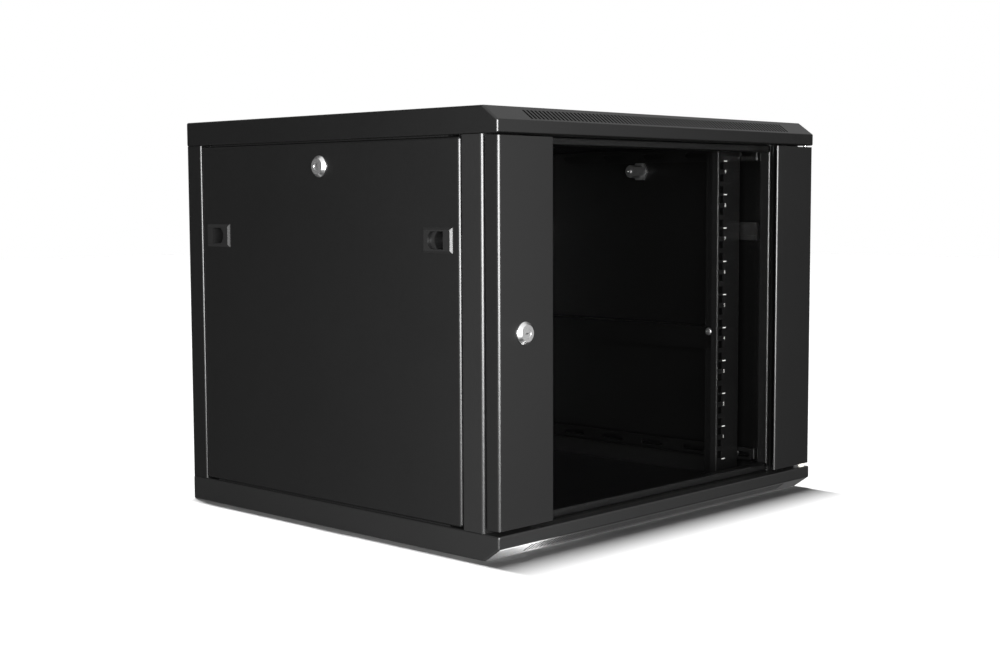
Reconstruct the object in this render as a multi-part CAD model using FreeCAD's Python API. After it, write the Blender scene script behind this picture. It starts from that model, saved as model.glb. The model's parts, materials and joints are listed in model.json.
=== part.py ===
import FreeCAD, Part
import math
import os

# Wall mount network cabinet for nine rack units, with a glazed door and lift-off side panels.
# Sizes are in millimetres. X points right seen from the front, Y from the door to the wall, Z up.
# The origin is the middle of the base. Right-hand pieces are drawn first and left ones mirrored.

# Outer size, without the lock heads
cabinet_width = 600.0
cabinet_depth = 550.0
cabinet_height = 485.0

# Sheet metal
sheet = 1.2                # covers, posts and door
bar_sheet = 1.5            # brackets, bars, rack rails and rear panel
panel_sheet = 1.0          # side panels
bend = 0.8                 # inside radius of the folds
overcut = 1.0              # how far a cutter reaches past a surface
wide_bend = 2.0            # inside radius of the corners that show

# Top and bottom covers
cover_height = 30.0
cover_edge_radius = 2.2
cover_rim = 10.0           # rim folded inwards at the sides and the rear
chamfer_run = 22.0
chamfer_drop = 15.5
vent_count = 77
vent_pitch = 6.4
vent_width = 3.2
vent_front_margin = 3.2    # along the slope, from its lower edge
vent_rear_margin = 6.2

# Space in front of the frame that the door fills
door_space = 22.5
door_depth = 20.5
door_side_gap = 1.5
door_bottom_gap = 5.0
door_top_gap = 2.0

# Posts
post_face_width = 66.5     # front posts, seen from the front
front_post_side = 31.5
rear_post_side = 30.0
rear_post_width = 36.0
post_return = 14.0         # lip around the door opening
landing_depth = 15.0       # how far the flange behind a side panel lies in
landing_width = 17.0

# Sill and header of the door opening
sill_rise = 9.5
sill_foot = 17.0
sill_lip = 12.0

# Rack rails
rack_units = 9
unit_height = 44.45
unit_holes = (6.35, 22.225, 38.1)
rack_hole = 9.5
rack_hole_spacing = 465.1
rack_base = 36.0           # height of the lowest unit's lower edge
rail_setback = 97.5        # from the front of the cabinet
rail_opening = 450.0       # clear width between the rails
rail_side_gap = 25.0       # from the rail's outer edge to the side of the cabinet
rail_web = 55.0
rail_lip = 10.0
rail_end_gap = 3.0

# Brackets and bars that carry the rails
bracket_height = 18.0
bracket_foot_edge = 2.7    # from the side of the cabinet to the edge of the foot
joggle_gap = 1.0
slot_length = 38.0
slot_height = 7.0
slot_count = 6
slot_lead = 8.0            # how far the first slot's middle lies in front of its rail screw
slot_tail = 34.5           # from the last slot's middle to the bracket's rear bend
mid_bar_top = 210.5
mid_bar_height = 31.0
mid_bar_flange = 22.0
mid_bar_lap = 12.0         # start of the bar behind the rail's face
mid_bar_relief = 1.5       # from the rail's web to the bar's flange

# Side panels
panel_side_gap = 1.8
seat_clearance = 0.3
latch_height = 342.5
latch_inset = 35.6         # from a post's edge to the middle of a latch
panel_lock_drop = 27.8     # below the panel's upper edge

# Slide latches
bezel_length = 46.0
bezel_height = 28.0
bezel_stand_out = 2.4
bezel_rim = 0.6            # upright part of the bezel's edge
bezel_slope = 2.6
latch_body_front = 17.5    # from the middle towards the panel's edge
latch_body_rear = 17.5
latch_guide_rear = 8.0     # end of the part that guides the slider
latch_floor = 2.0
latch_body_height = 24.0
latch_lip = 1.7            # keeps the slider in its channel
well_edge = 10.0           # straight end of the finger well
well_shoulder = 8.7
well_bulge = 5.8
well_height = 19.5
slider_thickness = 3.0
slider_height = 15.0
slider_clearance = 0.3
slider_tail = 7.7
slider_tip = 17.0
slider_grip = 7.5          # thickness of the finger grip along its travel
grip_recess = 1.0          # grip's end below the panel's face

# Door
left_stile_width = 86.0
right_stile_width = 80.5
stile_back_lip = 12.0
stile_inner_lip = 2.5
glass_thickness = 5.0
glass_overlap = 14.0       # behind each stile
glass_drop = 1.0           # below the stiles
tape_width = 10.0
tape_end_gap = 3.0
liner_clearance = 0.3
liner_flange = 14.0
liner_foot = 12.0

# Hinge
hinge_from_side = 6.5      # from the door's right edge
hinge_from_front = 7.5
pin_radius = 2.5
running_clearance = 0.05
pin_length = 46.0
pin_reach = 3.5            # past the inside of the ledge
bush_radius = 3.4
bush_collar_radius = 4.4
bush_depth = 1.0           # past the inside of the ledge
hinge_bracket_height = 24.0
hinge_bracket_reach = 12.0
hinge_bracket_width = 8.5
hinge_bracket_gap = 4.0

# Cam locks
lock_head_radius = 12.5
lock_face_radius = 9.3
lock_head = 4.5
lock_head_rim = 1.0
barrel_radius = 9.0
plug_radius = 4.95
plug_recess = 0.4
key_slot_width = 1.4
key_slot_length = 7.0
key_slot_depth = 8.0
lock_nut_across = 24.0
lock_nut_thickness = 4.0
cam_thickness = 2.0
cam_width = 15.0
cam_tip_width = 11.0
cam_reach = 28.0
cam_gap = 0.3
tang_side = 6.0
door_lock_inset = 39.5     # from the door's left edge
lock_opening_margin = 2.0

# Fasteners: shank radius, head radius, head height
small_screw = (2.0, 3.8, 2.2)
frame_screw = (2.5, 4.6, 3.0)
rail_screw = (3.0, 5.5, 3.6)
cam_screw = (1.5, 3.6, 1.8)
screw_flats = 1.7          # thread drawn with six flats, against the shank radius
rail_nut_across = 10.0
rail_nut_thickness = 5.0
rail_end_screw = 8.0       # behind the rail's face
rail_mid_screw = 47.0
mid_screw_drop = 6.5       # below the mid bar's upper edge

# Rear panel
rear_screw_inset = 20.0
rear_screw_end = 30.0
rear_screw_rows = 4
wall_hole_radius = 5.0
wall_hole_spacing = 450.0
wall_hole_rise = 340.0

# Cable entries with their cover plates
entry_width = 260.0
entry_depth = 70.0
entry_from_back = 80.0
entry_lap = 12.0

# Fan positions in the roof
fan_spacing = 180.0
fan_hole_spacing = 105.0
fan_hole_radius = 2.25
fan_circle = 112.0
fan_slot_count = 11
fan_slot_pitch = 10.0
fan_slot_width = 5.0
fan_rib = 6.0

# Threads for feet under the base
foot_spread_x = 500.0
foot_spread_y = 410.0
foot_hole_radius = 4.3
foot_thread_radius = 3.4
foot_nut_across = 14.0
foot_nut_height = 6.5

# Places worked out from the sizes above
half_width = cabinet_width / 2
back = (cabinet_depth + lock_head) / 2
front = back - cabinet_depth
frame_face = front + door_space
base_top = cover_height
roof_bottom = cabinet_height - cover_height
opening_half = half_width - post_face_width
landing_x = half_width - landing_depth
landing_inside = landing_x - sheet
front_post_end = frame_face + front_post_side
rear_post_start = back - rear_post_side
panel_middle = (front_post_end + rear_post_start) / 2
latch_offset = (rear_post_start - front_post_end) / 2 - latch_inset
panel_bottom = base_top + bar_sheet + seat_clearance
panel_top = roof_bottom - bar_sheet - seat_clearance
rail_face = front + rail_setback
rail_outer = half_width - rail_side_gap
bracket_front = front_post_end + landing_width + joggle_gap
bracket_rear = rear_post_start - landing_width - joggle_gap
door_left = -half_width + door_side_gap
door_right = half_width - door_side_gap
door_bottom = base_top + door_bottom_gap
door_top = roof_bottom - door_top_gap
door_middle = (door_bottom + door_top) / 2
glass_front = front + stile_inner_lip
glass_back = glass_front + glass_thickness
hinge_x = door_right - hinge_from_side
hinge_y = front + hinge_from_front
door_lock_x = door_left + door_lock_inset
entry_y = back - entry_from_back
panel_lock_z = panel_top - panel_lock_drop
rear_panel_front = back - sheet - bar_sheet

X = FreeCAD.Vector(1, 0, 0)
Y = FreeCAD.Vector(0, 1, 0)
Z = FreeCAD.Vector(0, 0, 1)
planes = {"plan": (X, Y, Z), "side": (Y, Z, X), "front": (X, Z, Y)}


def at(x, y, z):
    return FreeCAD.Vector(x, y, z)


def box(x, y, z):
    """Block between two limits on each axis."""
    return Part.makeBox(x[1] - x[0], y[1] - y[0], z[1] - z[0], at(x[0], y[0], z[0]))


def rod(radius, start, end):
    """Round bar between two points."""
    return Part.makeCylinder(radius, (end - start).Length, start, end - start)


def hexagon(across, start, end):
    """Hexagonal bar between two points, which lie along X, Y or Z."""
    radius = across / math.sqrt(3)
    side = Y if abs((end - start).y) < abs((end - start).x + (end - start).z) else X
    up = (end - start).cross(side).normalize()
    turns = [math.pi * k / 3 for k in range(7)]
    corners = [start + side * radius * math.cos(t) + up * radius * math.sin(t) for t in turns]
    return Part.Face(Part.makePolygon(corners)).extrude(end - start)


def joined(pieces):
    """One solid from pieces that meet or overlap."""
    whole = pieces[0].fuse(pieces[1:])
    return whole.removeSplitter()


def mirrored(shape):
    """The same piece for the left-hand side."""
    return shape.mirror(at(0, 0, 0), X)


def upside_down(shape):
    """The piece turned over between base and roof."""
    return shape.mirror(at(0, 0, cabinet_height / 2), Z)


def on_hinge(z):
    """Point of the hinge axis at a height."""
    return at(hinge_x, hinge_y, z)


def pin_bore():
    """Bore for the hinge pins through the whole height."""
    return rod(pin_radius + running_clearance, on_hinge(0), on_hinge(cabinet_height))


def rounded(points, radii):
    """Straight runs and arcs along a path of complex numbers."""
    runs = []
    start = points[0]
    for i in range(1, len(points) - 1):
        into = (points[i] - points[i - 1]) / abs(points[i] - points[i - 1])
        out = (points[i + 1] - points[i]) / abs(points[i + 1] - points[i])
        half_turn = abs(math.atan2((out / into).imag, (out / into).real)) / 2
        reach = radii[i - 1] * math.tan(half_turn)
        begin = points[i] - into * reach
        end = points[i] + out * reach
        inward = (out - into) / abs(out - into)
        middle = points[i] + inward * radii[i - 1] * (1 / math.cos(half_turn) - 1)
        runs.append((start, begin))
        runs.append((begin, middle, end))
        start = end
    runs.append((start, points[-1]))
    return runs


def folded(path, thickness, plane, span, bends=None):
    """Folded sheet that lies to the left of a path, drawn out over span; bends are inside radii."""
    near = [complex(u, v) for u, v in path]
    heading = [(b - a) / abs(b - a) for a, b in zip(near, near[1:])]
    far = [near[0] + heading[0] * 1j * thickness]
    near_radii = []
    far_radii = []
    bends = bends or [bend] * (len(near) - 2)
    for i in range(1, len(near) - 1):
        one = heading[i - 1] * 1j
        two = heading[i] * 1j
        far.append(near[i] + thickness * (one + two) / (1 + (one * two.conjugate()).real))
        turns_left = (heading[i] / heading[i - 1]).imag > 0
        inside = bends[i - 1]
        near_radii.append(inside + thickness if turns_left else inside)
        far_radii.append(inside if turns_left else inside + thickness)
    far.append(near[-1] + heading[-1] * 1j * thickness)
    runs = rounded(near, near_radii)
    runs.append((near[-1], far[-1]))
    runs += rounded(far[::-1], far_radii[::-1])
    runs.append((far[0], near[0]))
    along, across, normal = planes[plane]
    edges = []
    for run in runs:
        spots = [along * p.real + across * p.imag + normal * span[0] for p in run]
        if len(spots) == 3:
            edges.append(Part.Arc(*spots).toShape())
        else:
            edges.append(Part.LineSegment(*spots).toShape())
    return Part.Face(Part.Wire(edges)).extrude(normal * (span[1] - span[0]))


def obround(middle, length, height, depth):
    """Slot cutter along Y that goes through a wall facing X."""
    half = length / 2 - height / 2
    straight = box(
        (middle.x - depth, middle.x + depth),
        (middle.y - half, middle.y + half),
        (middle.z - height / 2, middle.z + height / 2),
    )
    ends = [
        rod(height / 2, middle + at(-depth, side * half, 0), middle + at(depth, side * half, 0))
        for side in (-1, 1)
    ]
    return joined([straight] + ends)


def screw(size, head_under, direction, grip):
    """Screw: head_under is the middle of its head's seat, the shank runs along direction for grip."""
    shank_radius, head_radius, head_height = size
    head = rod(head_radius, head_under, head_under - direction * head_height)
    return joined([head, hexagon(screw_flats * shank_radius, head_under, head_under + direction * grip)])


def shank_hole(size, head_under, direction, grip):
    """Clearance hole for a screw, long enough to pass through everything that it clamps."""
    radius = size[0] + running_clearance
    return rod(radius, head_under - direction * grip, head_under + direction * 2 * grip)


# Fastener places, as (seat of the head, direction of the shank, length clamped)
frame_grip = bar_sheet + sheet
bracket_tab_middle = landing_width / 2
tab_ys = (front_post_end + bracket_tab_middle, rear_post_start - bracket_tab_middle)
bracket_levels = (base_top + bracket_height / 2, roof_bottom - bracket_height / 2)
mid_bar_middle = mid_bar_top - mid_bar_height / 2
frame_screw_spots = [
    (at(side * (landing_inside - bar_sheet), y, z), X * side, frame_grip)
    for side in (-1, 1)
    for y, z in [(y, z) for y in tab_ys for z in bracket_levels] + [(tab_ys[1], mid_bar_middle)]
]
rail_grip = 2 * bar_sheet + rail_nut_thickness + overcut
rail_screw_y = rail_face + rail_end_screw
rail_screw_places = [(rail_outer - bar_sheet, rail_screw_y, z) for z in bracket_levels]
rail_screw_places.append(
    (rail_outer - 2 * bar_sheet, rail_face + rail_mid_screw, mid_bar_top - mid_screw_drop)
)
rail_screw_spots = [
    (at(side * x, y, z), X * side, rail_grip) for side in (-1, 1) for x, y, z in rail_screw_places
]
rear_rows = [
    base_top + rear_screw_end + k * (roof_bottom - base_top - 2 * rear_screw_end) / (rear_screw_rows - 1)
    for k in range(rear_screw_rows)
]
rear_screw_spots = [
    (at(side * (half_width - rear_screw_inset), rear_panel_front, z), Y, sheet + bar_sheet)
    for side in (-1, 1)
    for z in rear_rows
]
entry_corners = [
    (sx * (entry_width + entry_lap) / 2, entry_y + sy * (entry_depth + entry_lap) / 2)
    for sx in (-1, 1)
    for sy in (-1, 1)
]
entry_screw_spots = [(at(x, y, 2 * sheet), Z * -1, 2 * sheet) for x, y in entry_corners]
entry_screw_spots += [
    (at(x, y, cabinet_height - 2 * sheet), Z, 2 * sheet) for x, y in entry_corners
]
foot_spots = [
    (sx * foot_spread_x / 2, sy * foot_spread_y / 2) for sx in (-1, 1) for sy in (-1, 1)
]


def with_holes(shape, size, spots):
    """The piece with a clearance hole for each screw that passes through it."""
    return shape.cut([shank_hole(size, *spot) for spot in spots])


# Covers

def cover_outline(inset):
    """Side view of the base cover, inset from its outside."""
    slope = math.hypot(chamfer_run, chamfer_drop)
    lower = inset * (slope - chamfer_run) / chamfer_drop
    upper = inset * (slope - chamfer_drop) / chamfer_run
    corners = [
        (front + inset, cover_height - inset),
        (front + inset, chamfer_drop + lower),
        (front + chamfer_run + upper, inset),
        (back - inset, inset),
        (back - inset, cover_height - inset),
        (front + inset, cover_height - inset),
    ]
    return [at(0, y, z) for y, z in corners]


def cover_block(inset):
    """Solid block with the side view of the cover."""
    width = cabinet_width - 2 * inset
    face = Part.Face(Part.makePolygon(cover_outline(inset)))
    face.translate(at(-width / 2, 0, 0))
    return face.extrude(X * width)


def vent_cutters():
    """Row of slots that runs along the slope at the front of a cover."""
    slope = math.hypot(chamfer_run, chamfer_drop)
    length = slope - vent_front_margin - vent_rear_margin
    tilt = math.degrees(math.atan2(chamfer_drop, chamfer_run))
    from_front = (vent_front_margin + length / 2) / slope
    cutters = []
    for k in range(vent_count):
        slot = box((-vent_width / 2, vent_width / 2), (-length / 2, length / 2), (-2 * sheet, 2 * sheet))
        slot.rotate(at(0, 0, 0), X, -tilt)
        x = (k - (vent_count - 1) / 2) * vent_pitch
        slot.translate(at(x, front + chamfer_run * from_front, chamfer_drop * (1 - from_front)))
        cutters.append(slot)
    return cutters


def bare_cover():
    """Base cover: a tray with a rim all round and a ledge in front for the door."""
    block = cover_block(0)
    block = block.makeFillet(cover_edge_radius, block.Edges)
    shell = block.cut(cover_block(sheet))
    window = box(
        (-half_width + cover_rim, half_width - cover_rim),
        (frame_face + sill_foot, back - cover_rim),
        (cover_height - 2 * sheet, cover_height + sheet),
    )
    pivot = rod(bush_radius, on_hinge(cover_height - 2 * sheet), on_hinge(cover_height + sheet))
    return shell.cut([window, pivot] + vent_cutters())


def entry_cutter(level):
    """Rectangular cable entry through the sheet at a level."""
    return box(
        (-entry_width / 2, entry_width / 2),
        (entry_y - entry_depth / 2, entry_y + entry_depth / 2),
        (level - 2 * sheet, level + 2 * sheet),
    )


def fan_cutters():
    """Slotted grilles and fixing holes for two fans in the roof."""
    cutters = []
    roof = cabinet_height
    for fan_x in (-fan_spacing / 2, fan_spacing / 2):
        for sx in (-1, 1):
            for sy in (-1, 1):
                spot = at(fan_x + sx * fan_hole_spacing / 2, sy * fan_hole_spacing / 2, roof - 2 * sheet)
                cutters.append(rod(fan_hole_radius, spot, spot + Z * 3 * sheet))
        for k in range(fan_slot_count):
            y = (k - (fan_slot_count - 1) / 2) * fan_slot_pitch
            reach = math.sqrt((fan_circle / 2) ** 2 - y ** 2)
            for near, far in ((-reach, -fan_rib / 2), (fan_rib / 2, reach)):
                cutters.append(box(
                    (fan_x + near, fan_x + far),
                    (y - fan_slot_width / 2, y + fan_slot_width / 2),
                    (roof - 2 * sheet, roof + sheet),
                ))
    return cutters


def bottom_cover():
    feet = [rod(foot_hole_radius, at(x, y, -sheet), at(x, y, 2 * sheet)) for x, y in foot_spots]
    tray = bare_cover().cut([entry_cutter(0)] + feet)
    return with_holes(tray, small_screw, entry_screw_spots)


def top_cover():
    tray = upside_down(bare_cover()).cut([entry_cutter(cabinet_height)] + fan_cutters())
    return with_holes(tray, small_screw, entry_screw_spots)


def entry_plate(low):
    """Plate that closes a cable entry from the inside."""
    plate = box(
        (-entry_width / 2 - entry_lap, entry_width / 2 + entry_lap),
        (entry_y - entry_depth / 2 - entry_lap, entry_y + entry_depth / 2 + entry_lap),
        (low, low + sheet),
    )
    return with_holes(plate, small_screw, entry_screw_spots)


# Frame

def front_post():
    path = [
        (opening_half, frame_face + post_return),
        (opening_half, frame_face),
        (half_width, frame_face),
        (half_width, front_post_end),
        (landing_x, front_post_end),
        (landing_x, front_post_end + landing_width),
    ]
    bends = [wide_bend, wide_bend, bend, bend]
    post = folded(path, sheet, "plan", (base_top, roof_bottom), bends)
    return with_holes(post, frame_screw, frame_screw_spots)


def rear_post():
    path = [
        (landing_x, rear_post_start - landing_width),
        (landing_x, rear_post_start),
        (half_width, rear_post_start),
        (half_width, back),
        (half_width - rear_post_width, back),
    ]
    bends = [bend, bend, wide_bend]
    post = folded(path, sheet, "plan", (base_top, roof_bottom), bends)
    post = with_holes(post, frame_screw, frame_screw_spots)
    return with_holes(post, frame_screw, rear_screw_spots)


def lock_opening():
    """Opening in the left post that the lock's barrel and upright cam pass through."""
    half = barrel_radius + lock_opening_margin
    deep = (frame_face - sheet, frame_face + 2 * sheet)
    top = door_middle + cam_reach + lock_opening_margin - half
    straight = box((door_lock_x - half, door_lock_x + half), deep, (door_middle, top))
    ends = [rod(half, at(door_lock_x, deep[0], z), at(door_lock_x, deep[1], z)) for z in (door_middle, top)]
    return joined([straight] + ends)


def sill():
    path = [
        (frame_face + sill_lip, base_top + sill_rise),
        (frame_face, base_top + sill_rise),
        (frame_face, base_top),
        (frame_face + sill_foot, base_top),
    ]
    return folded(path, sheet, "side", (-opening_half, opening_half))


def rear_panel():
    half = half_width - sheet - wide_bend - seat_clearance
    plate = box((-half, half), (rear_panel_front, rear_panel_front + bar_sheet), (base_top, roof_bottom))
    middle = cabinet_height / 2
    holes = [
        rod(wall_hole_radius, at(x, rear_panel_front - sheet, z), at(x, back + sheet, z))
        for x in (-wall_hole_spacing / 2, wall_hole_spacing / 2)
        for z in (middle - wall_hole_rise / 2, middle + wall_hole_rise / 2)
    ]
    return with_holes(plate.cut(holes), frame_screw, rear_screw_spots)


def lower_bracket():
    """Slotted bracket whose joggled ends lie on the landing flanges and whose foot rests on the rim."""
    outside = rail_outer + bar_sheet
    path = [
        (landing_inside, front_post_end + joggle_gap),
        (landing_inside, bracket_front),
        (outside, bracket_front),
        (outside, bracket_rear),
        (landing_inside, bracket_rear),
        (landing_inside, rear_post_start - joggle_gap),
    ]
    above_fold = base_top + bend + 2 * bar_sheet
    strip = folded(path, bar_sheet, "plan", (above_fold, base_top + bracket_height))
    angle = [
        (rail_outer, base_top + bracket_height),
        (rail_outer, base_top),
        (half_width - bracket_foot_edge, base_top),
    ]
    inset = bend + 2 * bar_sheet
    foot = folded(angle, bar_sheet, "front", (bracket_front + inset, bracket_rear - inset))
    first = rail_screw_y - slot_lead
    slot_pitch = (bracket_rear - slot_tail - first) / (slot_count - 1)
    level = base_top + bracket_height / 2
    slots = [
        obround(at(rail_outer, first + k * slot_pitch, level), slot_length, slot_height, 2 * bar_sheet)
        for k in range(slot_count)
    ]
    return with_holes(joined([strip, foot]).cut(slots), frame_screw, frame_screw_spots)


def mid_bar():
    """Bar from inside the rail's web to the rear post, with a flange along its upper edge."""
    outside = rail_outer - bar_sheet
    inside = outside - bar_sheet
    start = rail_face + mid_bar_lap
    bottom = mid_bar_top - mid_bar_height
    path = [
        (outside, start),
        (outside, bracket_rear),
        (landing_inside, bracket_rear),
        (landing_inside, rear_post_start - joggle_gap),
    ]
    fold = bend + 2 * bar_sheet
    strip = folded(path, bar_sheet, "plan", (bottom, mid_bar_top - fold))
    angle = [
        (inside + mid_bar_flange, mid_bar_top),
        (inside, mid_bar_top),
        (inside, bottom),
    ]
    flange = folded(angle, bar_sheet, "front", (start, bracket_rear - fold))
    relief = box(
        (outside, half_width),
        (start - overcut, rail_face + rail_web + mid_bar_relief),
        (mid_bar_top - fold, mid_bar_top + overcut),
    )
    bar = with_holes(joined([strip, flange.cut(relief)]), frame_screw, frame_screw_spots)
    return with_holes(bar, rail_screw, rail_screw_spots)


def rack_rail():
    path = [
        (rail_opening / 2, rail_face + rail_lip),
        (rail_opening / 2, rail_face),
        (rail_outer, rail_face),
        (rail_outer, rail_face + rail_web),
    ]
    ends = (sheet + rail_end_gap, cabinet_height - sheet - rail_end_gap)
    rail = folded(path, bar_sheet, "plan", ends)
    half = rack_hole / 2
    middle = rack_hole_spacing / 2
    holes = []
    for unit in range(rack_units):
        for rise in unit_holes:
            z = rack_base + unit * unit_height + rise
            holes.append(box(
                (middle - half, middle + half),
                (rail_face - bar_sheet, rail_face + 2 * bar_sheet),
                (z - half, z + half),
            ))
    return with_holes(rail.cut(holes), rail_screw, rail_screw_spots)


def rail_nuts():
    nuts = []
    for seat, direction, _ in rail_screw_spots:
        start = seat + direction * 2 * bar_sheet
        nut = hexagon(rail_nut_across, start, start + direction * rail_nut_thickness)
        nuts.append(with_holes(nut, rail_screw, rail_screw_spots))
    return nuts


def foot_nuts():
    nuts = []
    for x, y in foot_spots:
        start = at(x, y, sheet)
        end = start + Z * foot_nut_height
        thread = rod(foot_thread_radius, start - Z * overcut, end + Z * overcut)
        nuts.append(hexagon(foot_nut_across, start, end).cut(thread))
    return nuts


# Cam lock, drawn with its face on the plane x = 0 and its head towards +X

def lock_body(length):
    barrel = rod(barrel_radius, at(-length, 0, 0), at(0, 0, 0))
    rim = rod(lock_head_radius, at(0, 0, 0), at(lock_head_rim, 0, 0))
    cone = Part.makeCone(
        lock_head_radius, lock_face_radius, lock_head - lock_head_rim, at(lock_head_rim, 0, 0), X
    )
    bore = rod(plug_radius + running_clearance, at(-length - overcut, 0, 0), at(lock_head + overcut, 0, 0))
    return joined([barrel, rim, cone]).cut(bore)


def lock_nut(seat):
    start = at(-seat - lock_nut_thickness, 0, 0)
    end = at(-seat, 0, 0)
    bore = rod(barrel_radius + running_clearance, start - X * overcut, end + X * overcut)
    return hexagon(lock_nut_across, start, end).cut(bore)


def lock_plug(length):
    """Key plug with a square tang that carries the cam behind the barrel."""
    tip = lock_head - plug_recess
    barrel = rod(plug_radius, at(-length - cam_gap, 0, 0), at(tip, 0, 0))
    half = tang_side / 2
    tang = box((-length - cam_gap - cam_thickness, -length - cam_gap), (-half, half), (-half, half))
    key_slot = box(
        (tip - key_slot_depth, tip + overcut),
        (-key_slot_width / 2, key_slot_width / 2),
        (-key_slot_length / 2, key_slot_length / 2),
    )
    back_end = at(-length - cam_gap - cam_thickness - overcut, 0, 0)
    hole = rod(cam_screw[0] + running_clearance, back_end, at(-length / 2, 0, 0))
    return joined([barrel, tang]).cut([key_slot, hole])


def lock_cam(length):
    """Flat cam that points along +Y, with a rounded hub and tip."""
    near = -length - cam_gap
    far = near - cam_thickness
    hub = rod(cam_width / 2, at(far, 0, 0), at(near, 0, 0))
    tip_middle = cam_reach - cam_tip_width / 2
    tip = rod(cam_tip_width / 2, at(far, tip_middle, 0), at(near, tip_middle, 0))
    arm_corners = [
        at(far, 0, -cam_width / 2),
        at(far, tip_middle, -cam_tip_width / 2),
        at(far, tip_middle, cam_tip_width / 2),
        at(far, 0, cam_width / 2),
        at(far, 0, -cam_width / 2),
    ]
    arm = Part.Face(Part.makePolygon(arm_corners)).extrude(X * cam_thickness)
    half = tang_side / 2
    seat = box((far - overcut, near + overcut), (-half, half), (-half, half))
    return joined([hub, arm, tip]).cut(seat)


def lock_cam_screw(length):
    start = at(-length - cam_gap - cam_thickness, 0, 0)
    return screw(cam_screw, start, X, length / 3)


# Slide latch, drawn with its middle at the origin, outside towards +X and panel edge towards -Y

latch_depth = landing_depth + sheet + slider_clearance     # panel face to the slider's outer side
channel_half = slider_height / 2 + slider_clearance


def well_outline(gap):
    """Finger well: straight towards the panel's edge, bulging towards its middle."""
    half = well_height / 2 - gap
    bulge = well_shoulder + well_bulge - gap
    edges = [
        Part.LineSegment(at(0, well_shoulder, half), at(0, -well_edge + gap, half)).toShape(),
        Part.LineSegment(at(0, -well_edge + gap, half), at(0, -well_edge + gap, -half)).toShape(),
        Part.LineSegment(at(0, -well_edge + gap, -half), at(0, well_shoulder, -half)).toShape(),
        Part.Arc(at(0, well_shoulder, -half), at(0, bulge, 0), at(0, well_shoulder, half)).toShape(),
    ]
    return Part.Face(Part.Wire(edges))


def rectangle(x, half_length, half_height):
    """Outline across X, centred on the latch."""
    corners = [(-1, -1), (1, -1), (1, 1), (-1, 1), (-1, -1)]
    return Part.makePolygon([at(x, y * half_length, z * half_height) for y, z in corners])


def latch_housing():
    rim = box(
        (0, bezel_rim),
        (-bezel_length / 2, bezel_length / 2),
        (-bezel_height / 2, bezel_height / 2),
    )
    foot = rectangle(bezel_rim, bezel_length / 2, bezel_height / 2)
    face = rectangle(bezel_stand_out, bezel_length / 2 - bezel_slope, bezel_height / 2 - bezel_slope)
    bezel = joined([rim, Part.makeLoft([foot, face], True, True)])
    half = latch_body_height / 2
    inner = latch_depth + slider_thickness + slider_clearance
    guide = box((-inner - latch_lip, 0), (-latch_body_front, latch_guide_rear), (-half, half))
    end = box((-latch_depth - latch_floor, 0), (latch_guide_rear, latch_body_rear), (-half, half))
    well = well_outline(0)
    well.translate(at(-latch_depth + slider_clearance, 0, 0))
    well = well.extrude(X * (latch_depth + bezel_stand_out))
    grip_way = box(
        (-latch_depth - overcut, 0),
        (-well_edge, latch_guide_rear),
        (-well_height / 2, well_height / 2),
    )
    channel = box(
        (-inner, -latch_depth + slider_clearance),
        (-latch_body_front - overcut, latch_guide_rear),
        (-channel_half, channel_half),
    )
    lip_gap = box(
        (-inner - latch_lip - overcut, -inner),
        (-latch_body_front - overcut, latch_guide_rear),
        (-channel_half + latch_lip, channel_half - latch_lip),
    )
    return joined([bezel, guide, end]).cut([well, grip_way, channel, lip_gap])


def latch_slider():
    """Slider in its drawn-back place: the grip lies at the rounded end of the well."""
    half = slider_height / 2
    plate = box(
        (-latch_depth - slider_thickness, -latch_depth),
        (-slider_tip, slider_tail),
        (-half, half),
    )
    base = -latch_depth + 2 * slider_clearance
    grip = well_outline(slider_clearance)
    grip.translate(at(base, 0, 0))
    grip = grip.extrude(X * (-base - grip_recess))
    hollow = well_outline(slider_clearance)
    hollow.translate(at(base - overcut, -slider_grip, 0))
    hollow = hollow.extrude(X * (1 - base))
    clear = box((base - overcut, 0), (-2 * well_edge, 0), (-well_height, well_height))
    neck = box((-latch_depth, base), (0, slider_tail), (-half, half))
    return joined([plate, neck, grip.cut([hollow, clear])])


def on_panel(piece, towards_back):
    """A latch piece at its place on the right panel."""
    piece = piece.copy()
    if towards_back:
        piece = piece.mirror(at(0, 0, 0), Y)
    side = 1 if towards_back else -1
    piece.translate(at(half_width, panel_middle + side * latch_offset, latch_height))
    return piece


def rounded_pan(x, y, z, radius):
    """Block with its outer face's edges and its four corners rounded."""
    pan = box(x, y, z)
    edges = [e for e in pan.Edges if e.CenterOfMass.x > (x[0] + x[1]) / 2]
    edges += [e for e in pan.Edges if e.Vertexes[0].X != e.Vertexes[1].X]
    return pan.makeFillet(radius, edges)


def side_panel():
    """Right side panel: a shallow pan with folded edges all round."""
    x = (landing_x + seat_clearance, half_width)
    y = (front_post_end + panel_side_gap, rear_post_start - panel_side_gap)
    z = (panel_bottom, panel_top)
    pan = rounded_pan(x, y, z, wide_bend + panel_sheet)
    hollow = rounded_pan(
        (x[0] - landing_depth, half_width - panel_sheet),
        (y[0] + panel_sheet, y[1] - panel_sheet),
        (z[0] + panel_sheet, z[1] - panel_sheet),
        wide_bend,
    )
    half = latch_body_height / 2
    lock_hole = rod(
        barrel_radius + running_clearance,
        at(half_width - landing_depth, panel_middle, panel_lock_z),
        at(half_width + overcut, panel_middle, panel_lock_z),
    )
    cuts = [hollow, lock_hole]
    for towards_back in (False, True):
        cut_out = box(
            (-landing_depth, 1),
            (-latch_body_front - seat_clearance, latch_body_rear + seat_clearance),
            (-half - seat_clearance, half + seat_clearance),
        )
        cuts.append(on_panel(cut_out, towards_back))
    return pan.cut(cuts)


# Door

door_back = front + door_depth


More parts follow.
